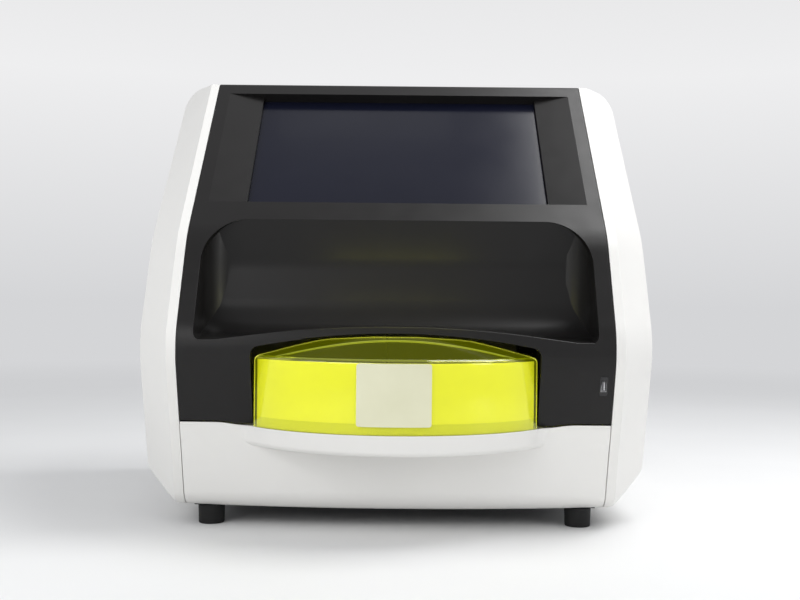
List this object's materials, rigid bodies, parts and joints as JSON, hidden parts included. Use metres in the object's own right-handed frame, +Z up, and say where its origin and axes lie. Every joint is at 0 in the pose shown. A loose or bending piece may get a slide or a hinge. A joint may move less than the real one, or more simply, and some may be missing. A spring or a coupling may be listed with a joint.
{
  "type": "immunoassay analyzer",
  "caption": "Bench immunoassay analyzer with a slanted touch screen, a scooped black front, white side shells and a pull-out loading drawer under a yellow hood.",
  "frame": {"origin": "on the bench under the middle of the object's box", "axes": "+Z up, the front with screen and drawer faces -Y, +X to the right of someone facing the front"},
  "size_m": [0.7, 0.6676, 0.65],
  "materials": {
    "shell_white": "satin moulded",
    "fascia_black": "satin moulded",
    "screen": "polished",
    "display": "satin",
    "hood_yellow": "clear tinted",
    "liner_pale": "satin",
    "sheet_steel": "powder coat",
    "plated_steel": "plated",
    "bare_aluminium": "machined",
    "rear_paint": "powder coat",
    "foot_rubber": "matte",
    "carousel_dark": "satin moulded",
    "fan_black": "satin",
    "board_green": "coated",
    "lens_glass": "polished",
    "motor_black": "satin"
  },
  "bodies": {
    "housing": {"base_chassis": "sheet_steel", "display_module": "display", "foot_screws": "plated_steel", "front_fascia": "fascia_black", "gantry_beam": "bare_aluminium", "gantry_rail": "plated_steel", "left_fan_frame": "fan_black", "left_fan_guard": "plated_steel", "left_frame_plate": "sheet_steel", "left_side_shell": "shell_white", "main_board": "board_green", "optical_reader": "motor_black", "power_inlet": "fan_black", "power_supply": "plated_steel", "reader_lens": "lens_glass", "rear_panel": "rear_paint", "rear_panel_screws": "plated_steel", "rear_ports": "plated_steel", "right_fan_frame": "fan_black", "right_fan_guard": "plated_steel", "right_frame_plate": "sheet_steel", "right_side_shell": "shell_white", "rubber_feet": "foot_rubber", "screen_glass": "screen", "service_plate": "rear_paint", "slide_rails": "plated_steel", "switch_frame": "fan_black", "syringe_pump": "carousel_dark", "top_cover": "shell_white", "usb_socket": "plated_steel"},
    "drawer": {"drawer_front": "shell_white", "drawer_hood": "hood_yellow", "hood_liner": "liner_pale", "drawer_tray": "plated_steel", "drawer_slides": "plated_steel", "carousel_bearing": "bare_aluminium"},
    "carousel": {"sample_carousel": "carousel_dark", "carousel_spindle": "bare_aluminium"},
    "carriage": {"pipettor_carriage": "bare_aluminium", "screw_bearings": "bare_aluminium", "lift_motor": "motor_black"},
    "screw": {"lift_screw": "plated_steel"},
    "head": {"pipettor_head": "carousel_dark", "pipettor_needle": "plated_steel"},
    "left_fan": {"left_fan_rotor": "fan_black"},
    "right_fan": {"right_fan_rotor": "fan_black"},
    "rocker": {"power_rocker": "fan_black"}
  },
  "joints": [
    {"name": "drawer_slide", "type": "slide", "parent": "housing", "child": "drawer", "axis": [0, -1, 0], "range_m": [0, 0.26]},
    {"name": "carousel_spin", "type": "hinge", "parent": "drawer", "child": "carousel", "pos_m": [0, -0.1025, 0.146], "axis": [0, 0, 1], "continuous": true},
    {"name": "carriage_slide", "type": "slide", "parent": "housing", "child": "carriage", "axis": [1, 0, 0], "range_m": [-0.15, 0.15]},
    {"name": "head_lift", "type": "slide", "parent": "carriage", "child": "head", "axis": [0, 0, 1], "range_m": [0, 0.07]},
    {"name": "screw_turn", "type": "hinge", "parent": "carriage", "child": "screw", "pos_m": [0.02, 0.049, 0.45], "axis": [0, 0, 1], "range_deg": [-5, 3155]},
    {"name": "left_fan_spin", "type": "hinge", "parent": "housing", "child": "left_fan", "pos_m": [-0.12, 0.31, 0.47], "axis": [0, 1, 0], "continuous": true},
    {"name": "right_fan_spin", "type": "hinge", "parent": "housing", "child": "right_fan", "pos_m": [0.12, 0.31, 0.47], "axis": [0, 1, 0], "continuous": true},
    {"name": "rocker_tilt", "type": "hinge", "parent": "housing", "child": "rocker", "pos_m": [-0.1693, 0.3275, 0.107], "axis": [1, 0, 0], "range_deg": [0, 16]}
  ],
  "couplings": [
    {"joint": "screw_turn", "follows": "head_lift", "rad_per_m": 785.4}
  ]
}
